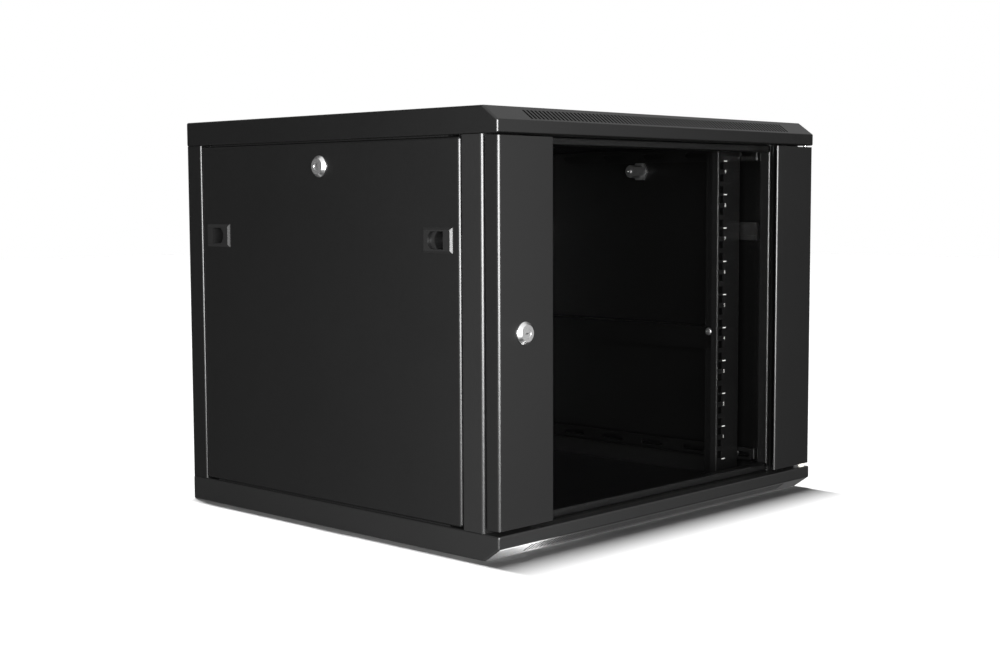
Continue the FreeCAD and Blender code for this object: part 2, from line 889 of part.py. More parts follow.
def stile(side, width, inner_edge):
    """Front skin of the door beside the glass: side is -1 for the left stile and 1 for the right."""
    outer = inner_edge + side * width
    path = [
        (outer - side * stile_back_lip, door_back),
        (outer, door_back),
        (outer, front),
        (inner_edge, front),
        (inner_edge, front + stile_inner_lip),
    ]
    bends = [bend, wide_bend, bend]
    if side > 0:
        path = path[::-1]
    return folded(path, sheet, "plan", (door_bottom, door_top), bends)


def liner(side, inner_edge):
    """Angle behind the glass that closes the inner side of a stile."""
    seat = glass_back + liner_clearance + sheet
    wall = inner_edge + side * (liner_flange + sheet)
    path = [
        (wall - side * liner_flange, seat),
        (wall, seat),
        (wall, door_back),
        (wall + side * liner_foot, door_back),
    ]
    if side < 0:
        return folded(path, sheet, "plan", (door_bottom, door_top))
    return folded(path[::-1], sheet, "plan", (door_bottom, door_top))


left_inner = door_left + left_stile_width
right_inner = door_right - right_stile_width


def end_plate(side, inner_edge, low):
    """Plate that closes the end of a stile between its skin and its liner."""
    outer = (door_right if side > 0 else door_left) - side * sheet
    wall = inner_edge + side * (liner_flange + 2 * sheet)
    plate = box(sorted((outer, wall)), (front + sheet, door_back - sheet), (low, low + sheet))
    corners = [e for e in plate.Edges if e.Vertexes[0].Z != e.Vertexes[1].Z]
    return plate.makeFillet(wide_bend, corners).cut(pin_bore())


def hinge_bracket(low):
    """Folded bracket inside the right stile that guides a hinge pin."""
    high = low + hinge_bracket_height
    outer = door_right - sheet
    path = [
        (outer - hinge_bracket_reach, low),
        (outer, low),
        (outer, high),
        (outer - hinge_bracket_reach, high),
    ]
    y = (hinge_y - hinge_bracket_width / 2, hinge_y + hinge_bracket_width / 2)
    return folded(path, bar_sheet, "front", y).cut(pin_bore())


def hinge_pins():
    lower = on_hinge(base_top - sheet - pin_reach)
    upper = on_hinge(roof_bottom + sheet + pin_reach)
    return [rod(pin_radius, lower, lower + Z * pin_length), rod(pin_radius, upper - Z * pin_length, upper)]


def hinge_bushes():
    """Plastic bushes in the ledges: the lower one carries the door on its collar, the upper one guides it."""
    ends = (
        (base_top - sheet - bush_depth, base_top),
        (roof_bottom, roof_bottom + sheet + bush_depth),
    )
    lower, upper = [rod(bush_radius - running_clearance, on_hinge(low), on_hinge(high)) for low, high in ends]
    collar = rod(bush_collar_radius, on_hinge(base_top), on_hinge(door_bottom - seat_clearance))
    return [joined([lower, collar]).cut(pin_bore()), upper.cut(pin_bore())]


def door_glass():
    return box(
        (left_inner - glass_overlap, right_inner + glass_overlap),
        (glass_front, glass_back),
        (door_bottom - glass_drop, door_top),
    )


def glass_tapes():
    """Adhesive strips between each stile's skin and the glass."""
    tapes = []
    for side, inner_edge in ((-1, left_inner), (1, right_inner)):
        near = inner_edge + side * (2 * sheet + bend)
        tapes.append(box(
            sorted((near, near + side * tape_width)),
            (front + sheet, glass_front),
            (door_bottom + tape_end_gap, door_top - tape_end_gap),
        ))
    return tapes


# Lock lengths: each cam turns just behind the wall that it holds on to
door_lock_length = door_space + sheet
panel_lock_length = half_width - rail_outer


def add_lock(parts, name, length, wall, place):
    """Five pieces of one cam lock, fixed to a wall of the given thickness."""
    parts[name + "_lock_body"] = place(lock_body(length))
    parts[name + "_lock_nut"] = place(lock_nut(wall))
    parts[name + "_lock_plug"] = place(lock_plug(length))
    parts[name + "_lock_cam"] = place(lock_cam(length))
    parts[name + "_lock_cam_screw"] = place(lock_cam_screw(length))


def to_right(piece):
    """Head outwards, cam towards the door."""
    piece = piece.copy()
    piece.rotate(at(0, 0, 0), X, 180)
    piece.translate(at(half_width, panel_middle, panel_lock_z))
    return piece


def to_left(piece):
    return mirrored(to_right(piece))


def to_door(piece):
    """Head towards the front, cam upright."""
    piece = piece.copy()
    piece.rotate(at(0, 0, 0), X, 90)
    piece.rotate(at(0, 0, 0), Z, -90)
    piece.translate(at(door_lock_x, front, door_middle))
    return piece


def build():
    parts = {}
    parts["bottom_cover"] = bottom_cover()
    parts["top_cover"] = top_cover()
    parts["bottom_cable_plate"] = entry_plate(sheet)
    parts["top_cable_plate"] = entry_plate(cabinet_height - 2 * sheet)
    parts["front_post_right"] = front_post()
    parts["front_post_left"] = mirrored(front_post()).cut(lock_opening())
    parts["rear_post_right"] = rear_post()
    parts["rear_post_left"] = mirrored(rear_post())
    parts["door_sill"] = sill()
    parts["door_header"] = upside_down(sill())
    parts["rear_panel"] = rear_panel()
    parts["lower_bracket_right"] = lower_bracket()
    parts["lower_bracket_left"] = mirrored(lower_bracket())
    parts["upper_bracket_right"] = upside_down(lower_bracket())
    parts["upper_bracket_left"] = mirrored(upside_down(lower_bracket()))
    parts["mid_bar_right"] = mid_bar()
    parts["mid_bar_left"] = mirrored(mid_bar())
    parts["rack_rail_right"] = rack_rail()
    parts["rack_rail_left"] = mirrored(rack_rail())
    parts["rail_screws"] = Part.makeCompound([screw(rail_screw, *spot) for spot in rail_screw_spots])
    parts["rail_nuts"] = Part.makeCompound(rail_nuts())
    parts["frame_screws"] = Part.makeCompound([screw(frame_screw, *spot) for spot in frame_screw_spots])
    parts["rear_panel_screws"] = Part.makeCompound([screw(frame_screw, *spot) for spot in rear_screw_spots])
    parts["cable_plate_screws"] = Part.makeCompound([screw(small_screw, *spot) for spot in entry_screw_spots])
    parts["foot_weld_nuts"] = Part.makeCompound(foot_nuts())
    parts["hinge_bushes"] = Part.makeCompound(hinge_bushes())

    lock_hole = rod(
        barrel_radius + running_clearance,
        at(door_lock_x, front - sheet, door_middle),
        at(door_lock_x, front + 2 * sheet, door_middle),
    )
    parts["door_stile_left"] = stile(-1, left_stile_width, left_inner).cut(lock_hole)
    parts["door_stile_right"] = stile(1, right_stile_width, right_inner)
    parts["door_liner_left"] = liner(-1, left_inner)
    parts["door_liner_right"] = liner(1, right_inner)
    parts["door_end_plates"] = Part.makeCompound([
        end_plate(side, inner_edge, low)
        for side, inner_edge in ((-1, left_inner), (1, right_inner))
        for low in (door_bottom, door_top - sheet)
    ])
    parts["door_glass"] = door_glass()
    parts["glass_tapes"] = Part.makeCompound(glass_tapes())
    parts["hinge_pins"] = Part.makeCompound(hinge_pins())
    parts["hinge_brackets"] = Part.makeCompound([
        hinge_bracket(door_bottom + hinge_bracket_gap),
        hinge_bracket(door_top - hinge_bracket_gap - hinge_bracket_height),
    ])
    add_lock(parts, "door", door_lock_length, sheet, to_door)

    for side, place_lock, place in (("right", to_right, lambda s: s), ("left", to_left, mirrored)):
        parts["side_panel_" + side] = place(side_panel())
        add_lock(parts, side + "_panel", panel_lock_length, panel_sheet, place_lock)
        housings = [place(on_panel(latch_housing(), towards_back)) for towards_back in (False, True)]
        parts[side + "_latch_housings"] = Part.makeCompound(housings)
        parts[side + "_latch_slider_front"] = place(on_panel(latch_slider(), False))
        parts[side + "_latch_slider_rear"] = place(on_panel(latch_slider(), True))
    return parts


os.makedirs("parts", exist_ok=True)
for node, shape in build().items():
    shape.exportStep("parts/" + node + ".step")
    print(node, len(shape.Solids), "valid" if shape.isValid() else "NOT VALID")
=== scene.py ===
import json
import math

import bmesh
import bpy
from mathutils import Matrix, Vector

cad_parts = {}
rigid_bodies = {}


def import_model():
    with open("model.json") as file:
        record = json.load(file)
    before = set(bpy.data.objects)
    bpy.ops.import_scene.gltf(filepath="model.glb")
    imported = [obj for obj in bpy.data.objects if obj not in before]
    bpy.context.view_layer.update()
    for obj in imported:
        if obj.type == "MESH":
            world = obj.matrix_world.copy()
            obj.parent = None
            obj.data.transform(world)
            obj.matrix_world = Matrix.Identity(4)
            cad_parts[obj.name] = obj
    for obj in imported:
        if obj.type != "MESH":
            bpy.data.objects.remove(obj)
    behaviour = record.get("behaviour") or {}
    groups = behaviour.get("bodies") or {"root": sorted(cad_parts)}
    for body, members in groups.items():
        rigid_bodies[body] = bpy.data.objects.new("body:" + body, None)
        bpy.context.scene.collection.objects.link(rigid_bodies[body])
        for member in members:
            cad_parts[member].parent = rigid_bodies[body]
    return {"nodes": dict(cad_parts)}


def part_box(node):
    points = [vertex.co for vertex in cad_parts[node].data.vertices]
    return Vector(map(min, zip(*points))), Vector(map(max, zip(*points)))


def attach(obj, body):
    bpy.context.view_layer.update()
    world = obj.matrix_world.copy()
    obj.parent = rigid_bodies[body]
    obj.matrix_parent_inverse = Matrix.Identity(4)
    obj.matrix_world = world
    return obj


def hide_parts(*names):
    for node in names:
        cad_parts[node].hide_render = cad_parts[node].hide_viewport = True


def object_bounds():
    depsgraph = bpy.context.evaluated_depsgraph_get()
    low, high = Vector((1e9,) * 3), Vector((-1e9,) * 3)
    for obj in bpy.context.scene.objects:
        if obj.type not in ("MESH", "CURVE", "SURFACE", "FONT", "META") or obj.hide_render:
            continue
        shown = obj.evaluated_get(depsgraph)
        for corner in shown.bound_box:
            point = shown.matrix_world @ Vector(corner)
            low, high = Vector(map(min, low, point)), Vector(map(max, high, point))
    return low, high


# Wall mount network cabinet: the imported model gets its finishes, screw heads, rail marks, stage and lights here.
# Lengths are in metres unless a name ends in Mm.

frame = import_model()
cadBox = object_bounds()
scene = bpy.context.scene
print("stage: frame loaded,", len(frame["nodes"]), "nodes")

mm = 0.001


def hexColour(code):
    # sRGB hex to linear RGBA
    parts = [int(code[i:i + 2], 16) / 255 for i in (1, 3, 5)]
    linear = [c / 12.92 if c <= 0.04045 else ((c + 0.055) / 1.055) ** 2.4 for c in parts]
    return (*linear, 1.0)


def addNode(tree, kind, settings=None, values=None, links=None):
    # settings are attributes, values are socket values, links are {socket: output}
    node = tree.nodes.new(kind)
    for name, value in (settings or {}).items():
        setattr(node, name, value)
    for name, value in (values or {}).items():
        node.inputs[name].default_value = value
    for name, output in (links or {}).items():
        tree.links.new(output, node.inputs[name])
    return node


def newMaterial(name):
    material = bpy.data.materials.new(name)
    material.use_nodes = True
    material.node_tree.nodes.clear()
    return material, material.node_tree


def blended(tree, share, codeLow, codeHigh):
    # Colour that a pattern moves between two hex codes
    mix = addNode(tree, "ShaderNodeMix", {"data_type": "RGBA"}, {}, {0: share})
    mix.inputs[6].default_value = hexColour(codeLow)
    mix.inputs[7].default_value = hexColour(codeHigh)
    return mix.outputs[2]


def spread(tree, share, ends):
    # Roughness that a noise pattern moves between two ends
    return addNode(tree, "ShaderNodeMapRange", {},
                   {"From Min": 0.3, "From Max": 0.7, "To Min": ends[0], "To Max": ends[1]},
                   {"Value": share}).outputs[0]


# Finishes

powderCoat = {
    "colour": "#040404",        # satin black polyester powder
    "colourThin": "#070707",
    "roughness": (0.28, 0.34),
    "ior": 1.5,
    "peelMm": 1.6,              # orange peel is 0.5 to 1 mm; drawn coarser so that it shows
    "peelDepthMm": 0.0035,
    "cloudMm": 90.0,            # slow change of film thickness
}


def blackPowderCoat(name, look):
    # Baked polyester powder on steel: a satin black with a faint orange peel and a soft, wide highlight
    material, tree = newMaterial(name)
    place = addNode(tree, "ShaderNodeTexCoord").outputs["Object"]
    peel = addNode(tree, "ShaderNodeTexNoise", {},
                   {"Scale": 1 / (look["peelMm"] * mm), "Detail": 2.0, "Roughness": 0.55}, {"Vector": place})
    cloud = addNode(tree, "ShaderNodeTexNoise", {}, {"Scale": 1 / (look["cloudMm"] * mm), "Detail": 3.0},
                    {"Vector": place})
    bump = addNode(tree, "ShaderNodeBump", {}, {"Strength": 1.0, "Distance": look["peelDepthMm"] * mm},
                   {"Height": peel.outputs["Fac"]})
    shader = addNode(tree, "ShaderNodeBsdfPrincipled", {}, {"IOR": look["ior"]},
                     {"Base Color": blended(tree, cloud.outputs["Fac"], look["colour"], look["colourThin"]),
                      "Roughness": spread(tree, peel.outputs["Fac"], look["roughness"]), "Normal": bump.outputs[0]})
    addNode(tree, "ShaderNodeOutputMaterial", {}, {}, {"Surface": shader.outputs[0]})
    return material


plated = {
    # bright zinc with a clear passivate; the real spangle is finer, and is drawn coarser so that it shows
    "steel": {"colour": "#c8c8c8", "colourDull": "#a2a2a2", "roughness": (0.34, 0.48), "grainMm": 2.0, "detail": 4.0,
              "grainStrength": 0.4, "socket": {"Metallic": 1.0}},
    # bright chrome on a zinc casting
    "casting": {"colour": "#dadada", "colourDull": "#b5b5b5", "roughness": (0.26, 0.38), "grainMm": 1.5, "detail": 4.0,
                "grainStrength": 0.4, "socket": {"Metallic": 1.0}},
}
moulded = {
    "abs": {"colour": "#080808", "colourDull": "#0d0d0d", "roughness": (0.32, 0.42), "grainMm": 1.2, "detail": 3.0,
            "grainStrength": 0.5, "socket": {"IOR": 1.53}},
    "nylon": {"colour": "#d8d6cf", "colourDull": "#cbc8bf", "roughness": (0.38, 0.48), "grainMm": 1.5, "detail": 3.0,
              "grainStrength": 0.5, "socket": {"IOR": 1.53}},
    "foam": {"colour": "#131313", "colourDull": "#1d1d1d", "roughness": (0.85, 0.95), "grainMm": 0.8, "detail": 3.0,
             "grainStrength": 0.5, "socket": {"IOR": 1.45}},
    "ink": {"colour": "#e4e4e2", "colourDull": "#d2d2cf", "roughness": (0.45, 0.55), "grainMm": 0.9, "detail": 3.0,
            "grainStrength": 0.5, "socket": {"IOR": 1.5}},
}
grainDepthMm = 0.01


def grainedFinish(name, look):
    # Plating breaks its mirror image up slightly from grain to grain; moulded or printed plastic has an even colour
    # and a fine spark-eroded grain
    material, tree = newMaterial(name)
    place = addNode(tree, "ShaderNodeTexCoord").outputs["Object"]
    grain = addNode(tree, "ShaderNodeTexNoise", {}, {"Scale": 1 / (look["grainMm"] * mm), "Detail": look["detail"]},
                    {"Vector": place}).outputs["Fac"]
    bump = addNode(tree, "ShaderNodeBump", {}, {"Strength": look["grainStrength"], "Distance": grainDepthMm * mm},
                   {"Height": grain})
    shader = addNode(tree, "ShaderNodeBsdfPrincipled", {}, look["socket"],
                     {"Base Color": blended(tree, grain, look["colour"], look["colourDull"]),
                      "Roughness": spread(tree, grain, look["roughness"]), "Normal": bump.outputs[0]})
    addNode(tree, "ShaderNodeOutputMaterial", {}, {}, {"Surface": shader.outputs[0]})
    return material


pane = {
    "tint": "#f3f3f3",          # low-iron float, hardly coloured
    "ior": 1.52,
    "mirrorShare": 0.02,        # a polarising filter takes most of the mirror image off
    "rollWaveMm": 180.0,        # tempering leaves slow waves
    "rollDepthMm": 0.1,
}


def temperedGlass(name, look):
    # Tempered float glass: clear, with a weak mirror image that grows towards the edge of view and faint roller waves
    material, tree = newMaterial(name)
    place = addNode(tree, "ShaderNodeTexCoord").outputs["Object"]
    wave = addNode(tree, "ShaderNodeTexNoise", {}, {"Scale": 1 / (look["rollWaveMm"] * mm), "Detail": 0.0},
                   {"Vector": place})
    bump = addNode(tree, "ShaderNodeBump", {}, {"Strength": 0.15, "Distance": look["rollDepthMm"] * mm},
                   {"Height": wave.outputs["Fac"]})
    clear = addNode(tree, "ShaderNodeBsdfTransparent", {}, {"Color": hexColour(look["tint"])})
    mirror = addNode(tree, "ShaderNodeBsdfGlossy", {}, {"Color": (1, 1, 1, 1), "Roughness": 0.0},
                     {"Normal": bump.outputs[0]})
    rise = addNode(tree, "ShaderNodeFresnel", {}, {"IOR": look["ior"]})
    side = addNode(tree, "ShaderNodeNewGeometry")
    outer = addNode(tree, "ShaderNodeMath", {"operation": "SUBTRACT", "use_clamp": True}, {},
                    {0: rise.outputs[0], 1: side.outputs["Backfacing"]})    # only the face that light meets mirrors
    share = addNode(tree, "ShaderNodeMath", {"operation": "MULTIPLY"}, {1: look["mirrorShare"]}, {0: outer.outputs[0]})
    mix = addNode(tree, "ShaderNodeMixShader", {}, {}, {0: share.outputs[0], 1: clear.outputs[0], 2: mirror.outputs[0]})
    addNode(tree, "ShaderNodeOutputMaterial", {}, {}, {"Surface": mix.outputs[0]})
    return material


paintedLightCoat = dict(powderCoat, colour="#0e0e0e", colourThin="#121212")      # the same powder coat painted paler, as painted light: it stands in for the extra light that the front posts and the base catch from the front
railCoat = dict(paintedLightCoat, ior=1.22)            # a matter film with less mirror image in it
finishes = {
    "powderCoat": blackPowderCoat("blackPowderCoatedSteel", powderCoat),
    "paintedLightCoat": blackPowderCoat("blackPowderCoatPaintedLighter", paintedLightCoat),
    "railCoat": blackPowderCoat("blackCoatedRackRail", railCoat),
    "zinc": grainedFinish("zincPlatedSteel", plated["steel"]),
    "chrome": grainedFinish("chromedZincCasting", plated["casting"]),
    "glass": temperedGlass("temperedGlass", pane),
    "abs": grainedFinish("blackMouldedAbs", moulded["abs"]),
    "nylon": grainedFinish("whiteMouldedNylon", moulded["nylon"]),
    "foam": grainedFinish("blackFoamTape", moulded["foam"]),
    "ink": grainedFinish("whiteScreenPrintInk", moulded["ink"]),
}

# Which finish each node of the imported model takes, by words in its name, first match first
finishOfNode = [
    ("glass_tapes", "foam"),
    ("door_glass", "glass"),
    ("lock_body", "chrome"),
    ("lock_plug", "chrome"),
    ("lock_nut", "zinc"),
    ("lock_cam", "zinc"),
    ("latch", "abs"),
    ("bushes", "nylon"),
    ("screws", "zinc"),
    ("nuts", "zinc"),
    ("hinge_pins", "zinc"),
    ("rack_rail", "railCoat"),
    # the front posts and the base take the coat painted paler, which is painted light
    ("front_post_", "paintedLightCoat"),
    ("bottom_cover", "paintedLightCoat"),
]


def finishFor(node):
    return next((finish for words, finish in finishOfNode if words in node), "powderCoat")


for nodeName, nodeObject in frame["nodes"].items():
    material = finishes[finishFor(nodeName)]
    for meshSlot in nodeObject.material_slots:
        meshSlot.material = material
    if not nodeObject.material_slots:
        nodeObject.data.materials.append(material)
print("stage: finishes")


# Screws with pan heads and cross recesses

panHead = {
    "armWidth": 0.22,           # against the head's radius
    "armReach": 0.62,
    "depth": 0.55,              # against the head's height
    "turns": 32,
    "armFoot": 0.45,            # how far an arm reaches at the bottom, against the top
    "threadPitchMm": 0.8,
    "threadDepthMm": 0.25,
    "tip": 0.6,                 # flat end of the thread, against its core
    # the head's outline: radius against its radius, height against its height
    "head": ((0.97, 0), (1.0, 0.12), (0.99, 0.45), (0.9, 0.75), (0.72, 0.93), (0.4, 1.0), (0, 1.0)),
}


weldMm = 0.01                   # corners nearer than this are the same corner
endMm = 0.05                    # corners nearer than this to a screw's end lie on it
rimShare = 0.9                  # a corner this far out, against the head's radius, is on the head


def solidsOf(nodeObject):
    # Corner lists of each separate solid in a node
    corners = [nodeObject.matrix_world @ v.co for v in nodeObject.data.vertices]
    keyOf = [tuple(round(c / (weldMm * mm)) for c in corner) for corner in corners]
    parent = {key: key for key in keyOf}

    def root(key):
        while parent[key] != key:
            parent[key] = parent[parent[key]]
            key = parent[key]
        return key

    for face in nodeObject.data.polygons:
        first = root(keyOf[face.vertices[0]])
        for index in face.vertices[1:]:
            parent[root(keyOf[index])] = first
    groups = {}
    for key, corner in zip(keyOf, corners):
        groups.setdefault(root(key), []).append(corner)
    return list(groups.values())


def screwPlace(corners):
    # A screw's axis is its one odd side; its head is the end that has the widest corners
    low = Vector([min(c[i] for c in corners) for i in range(3)])
    high = Vector([max(c[i] for c in corners) for i in range(3)])
    size = high - low
    pairs = [(abs(size[(i + 1) % 3] - size[(i + 2) % 3]), i) for i in range(3)]
    axis = min(pairs)[1]
    middle = (low + high) / 2
    reach = {end: max((c - middle)[(axis + 1) % 3] for c in corners if abs(c[axis] - end) < endMm * mm)
             for end in (low[axis], high[axis])}
    top = max(reach, key=reach.get)
    bottom = low[axis] if top == high[axis] else high[axis]
    headRadius = size[(axis + 1) % 3] / 2
    wide = [c[axis] for c in corners if abs((c - middle)[(axis + 1) % 3]) > rimShare * headRadius]
    seat = min(wide) if top == high[axis] else max(wide)
    shankRadius = reach[bottom]
    out = Vector([0, 0, 0])
    out[axis] = 1 if top > bottom else -1
    seatPoint = middle.copy()
    seatPoint[axis] = seat
    return seatPoint, out, headRadius, abs(top - seat), abs(seat - bottom), shankRadius


def revolved(profile, turns):
    # Closed mesh of (radius, height) points turned round Z; the first and last lie on the axis
    mesh = bmesh.new()
    rings = []
    for radius, height in profile:
        if radius == 0:
            rings.append([mesh.verts.new((0, 0, height))])
        else:
            rings.append([mesh.verts.new((radius * math.cos(a), radius * math.sin(a), height))
                          for a in (2 * math.pi * k / turns for k in range(turns))])
    for below, above in zip(rings, rings[1:]):
        for k in range(turns):
            face = [below[k % len(below)], below[(k + 1) % len(below)],
                    above[(k + 1) % len(above)], above[k % len(above)]]
            mesh.faces.new(list(dict.fromkeys(face)))
    return mesh


def panHeadScrew(headRadius, headHeight, grip, shankRadius):
    # Seat of the head on z = 0, head upwards
    pitch = panHead["threadPitchMm"] * mm
    root = shankRadius - panHead["threadDepthMm"] * mm
    profile = [(0, -grip), (root * panHead["tip"], -grip)]
    height = -grip + pitch / 2
    while height < -pitch:
        profile += [(root, height), (shankRadius, height + pitch / 2)]
        height += pitch
    profile += [(shankRadius, -pitch / 4), (shankRadius, 0)]
    profile += [(headRadius * across, headHeight * up) for across, up in panHead["head"]]
    turned = revolved(profile, panHead["turns"])
    bmesh.ops.recalc_face_normals(turned, faces=turned.faces)
    screwMesh = bpy.data.meshes.new("panHeadScrew")
    turned.to_mesh(screwMesh)
    turned.free()
    screw = bpy.data.objects.new("panHeadScrew", screwMesh)
    cutterMesh = bpy.data.meshes.new("crossCutter")
    cutter = bmesh.new()
    reach, width = panHead["armReach"] * headRadius, panHead["armWidth"] * headRadius / 2
    bottom, top = headHeight * (1 - panHead["depth"]), headHeight * 1.2
    outline = [(reach, -width), (reach, width), (width, width), (width, reach), (-width, reach), (-width, width),
               (-reach, width), (-reach, -width), (-width, -width), (-width, -reach), (width, -reach), (width, -width)]
    foot = panHead["armFoot"]
    lower = [cutter.verts.new((x * foot if abs(x) > width else x, y * foot if abs(y) > width else y, bottom))
             for x, y in outline]
    upper = [cutter.verts.new((x, y, top)) for x, y in outline]
    cutter.faces.new(lower[::-1])
    cutter.faces.new(upper)
    for k in range(len(outline)):
        n = (k + 1) % len(outline)
        cutter.faces.new([lower[k], lower[n], upper[n], upper[k]])
    bmesh.ops.recalc_face_normals(cutter, faces=cutter.faces)
    cutter.to_mesh(cutterMesh)
    cutter.free()
    cross = bpy.data.objects.new("crossCutter", cutterMesh)
    for thing in (screw, cross):
        scene.collection.objects.link(thing)
    cut = screw.modifiers.new("cross", "BOOLEAN")
    cut.operation = "DIFFERENCE"
    cut.solver = "EXACT"
    cut.object = cross
    shape = bpy.data.meshes.new_from_object(screw.evaluated_get(bpy.context.evaluated_depsgraph_get()))
    bpy.data.objects.remove(screw)
    bpy.data.objects.remove(cross)
    return shape


def detailedScrews(nodeName, body):
    whole = bmesh.new()
    shapes = {}
    for corners in solidsOf(frame["nodes"][nodeName]):
        seat, out, headRadius, headHeight, grip, shankRadius = screwPlace(corners)
        size = tuple(round(v, 5) for v in (headRadius, headHeight, grip, shankRadius))
        if size not in shapes:
            shapes[size] = panHeadScrew(*size)
        turn = Vector((0, 0, 1)).rotation_difference(out).to_matrix().to_4x4()
        placed = shapes[size].copy()
        placed.transform(Matrix.Translation(seat) @ turn)
        whole.from_mesh(placed)
        bpy.data.meshes.remove(placed)
    mesh = bpy.data.meshes.new(nodeName + "_detailed")
    whole.to_mesh(mesh)
    whole.free()
    for face in mesh.polygons:
        face.use_smooth = False
    mesh.materials.append(finishes["zinc"])
    piece = bpy.data.objects.new(nodeName + "_detailed", mesh)
    scene.collection.objects.link(piece)
    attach(piece, body)
    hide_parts(nodeName)


screwNodes = {
    "frame_screws": "cabinet",
    "rail_screws": "cabinet",
    "rear_panel_screws": "cabinet",
    "cable_plate_screws": "cabinet",
    "door_lock_cam_screw": "door_lock",
    "left_panel_lock_cam_screw": "left_panel_lock",
    "right_panel_lock_cam_screw": "right_panel_lock",
}
for nodeName, body in screwNodes.items():
    detailedScrews(nodeName, body)
print("stage: screws")


# Rack unit marks printed on the rails

unitMarks = {
    "unitMm": 44.45,
    "baseMm": 36.0,
    "units": 9,
    "middleMm": 240.75,         # from the middle of the cabinet
    "dashMm": (7.0, 1.3),
    "digitMm": 6.5,
    "digitDropMm": 14.3,        # below the upper line of its unit
    "inkMm": 0.04,
}


def railMarks(side):
    railNode = "rack_rail_right" if side > 0 else "rack_rail_left"
    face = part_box(railNode)[0][1] - unitMarks["inkMm"] * mm
    middle = side * unitMarks["middleMm"] * mm
    whole = bmesh.new()
    for line in range(unitMarks["units"] + 1):
        height = (unitMarks["baseMm"] + line * unitMarks["unitMm"]) * mm
        width, thick = (v * mm / 2 for v in unitMarks["dashMm"])
        corners = [whole.verts.new((middle + x, y, height + z))
                   for y in (face, face + 2 * unitMarks["inkMm"] * mm)
                   for x, z in ((-width, -thick), (width, -thick), (width, thick), (-width, thick))]
        for ring in ((0, 1, 2, 3), (7, 6, 5, 4), (0, 4, 5, 1), (1, 5, 6, 2), (2, 6, 7, 3), (3, 7, 4, 0)):
            whole.faces.new([corners[i] for i in ring])
        if line == 0:
            continue
        writing = bpy.data.curves.new("digit", "FONT")
        writing.body = str(line)
        writing.size = unitMarks["digitMm"] * mm
        writing.extrude = unitMarks["inkMm"] * mm
        writing.align_x = "CENTER"
        writing.align_y = "CENTER"
        digit = bpy.data.objects.new("digit", writing)
        scene.collection.objects.link(digit)
        flat = bpy.data.meshes.new_from_object(digit.evaluated_get(bpy.context.evaluated_depsgraph_get()))
        bpy.data.objects.remove(digit)
        place = Matrix.Translation((middle, face + unitMarks["inkMm"] * mm, height - unitMarks["digitDropMm"] * mm))
        flat.transform(place @ Matrix.Rotation(math.pi / 2, 4, "X"))
        whole.from_mesh(flat)
        bpy.data.meshes.remove(flat)
    bmesh.ops.recalc_face_normals(whole, faces=whole.faces)
    name = "unit_marks_right" if side > 0 else "unit_marks_left"
    mesh = bpy.data.meshes.new(name)
    whole.to_mesh(mesh)
    whole.free()
    mesh.materials.append(finishes["ink"])
    marks = bpy.data.objects.new(name, mesh)
    scene.collection.objects.link(marks)
    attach(marks, "cabinet")


for side in (1, -1):
    railMarks(side)
print("stage: rail marks")


# Stage: a plain pale floor under soft studio light

studio = {
    "floorColour": "#e8e8e8",
    "floorRoughness": (0.8, 0.95),
    "floorMottle": 3.0,         # patches to a metre
    "floorSize": 16.0,
    "floorLight": {"place": (0.6, 2.1, 30.0), "size": (0.5, 4.2), "watts": 12600.0},   # long strip high over the floor
    "floorFill": {"height": 3.2, "size": (8.0, 8.0), "watts": 30.0},
    # stands for the bright patch of floor that the sloping lip of the base mirrors at its left end
    "floorGlow": {"place": (-0.185, -0.275, -0.09), "target": (-0.29, -0.29, 0.012), "size": (0.10, 0.10),
                  "watts": 0.38},
    "backdrop": 1.0,            # what the camera sees behind the cabinet
    # each fading end of the wall: the way inwards, and the cosines from it where the wall is dark and where it is full
    "wallEnds": (
        ((-0.95, -0.31, 0.0), -0.60, -0.41),        # to the right of the front
        ((-0.31, -0.95, -0.08), -0.52, -0.14),      # behind the left side
        ((0.0, 0.6, 1.0), -0.76, -0.58),            # low in front
    ),
    "wallLight": 1.32,
    # other soft parts of the room: the way they face, the cosines where they are dark and where they are full, light
    "roomGlows": (
        ((0.62, 0.06, 0.78), 0.72, 0.95, 0.56),     # ceiling
        ((0.64, 0.76, 0.10), 0.25, 0.90, 0.45),     # wall behind, for the back and the right side
    ),
}


def paleFloor():
    # Matt painted studio floor: pale and even, with no mirror image
    material, tree = newMaterial("paleStudioFloor")
    place = addNode(tree, "ShaderNodeTexCoord").outputs["Object"]
    mottle = addNode(tree, "ShaderNodeTexNoise", {}, {"Scale": studio["floorMottle"], "Detail": 2.0}, {"Vector": place})
    low, high = studio["floorRoughness"]
    rough = addNode(tree, "ShaderNodeMapRange", {}, {"To Min": low, "To Max": high}, {"Value": mottle.outputs["Fac"]})
    shader = addNode(tree, "ShaderNodeBsdfPrincipled", {},
                     {"Base Color": hexColour(studio["floorColour"]), "Specular IOR Level": 0.0},
                     {"Roughness": rough.outputs[0]})
    addNode(tree, "ShaderNodeOutputMaterial", {}, {}, {"Surface": shader.outputs[0]})
    half = studio["floorSize"] / 2
    mesh = bpy.data.meshes.new("studioFloor")
    mesh.from_pydata([(-half, -half, 0), (half, -half, 0), (half, half, 0), (-half, half, 0)], [], [(0, 1, 2, 3)])
    mesh.materials.append(material)
    floor = bpy.data.objects.new("studioFloor", mesh)
    scene.collection.objects.link(floor)
    floor.visible_glossy = False
    return floor


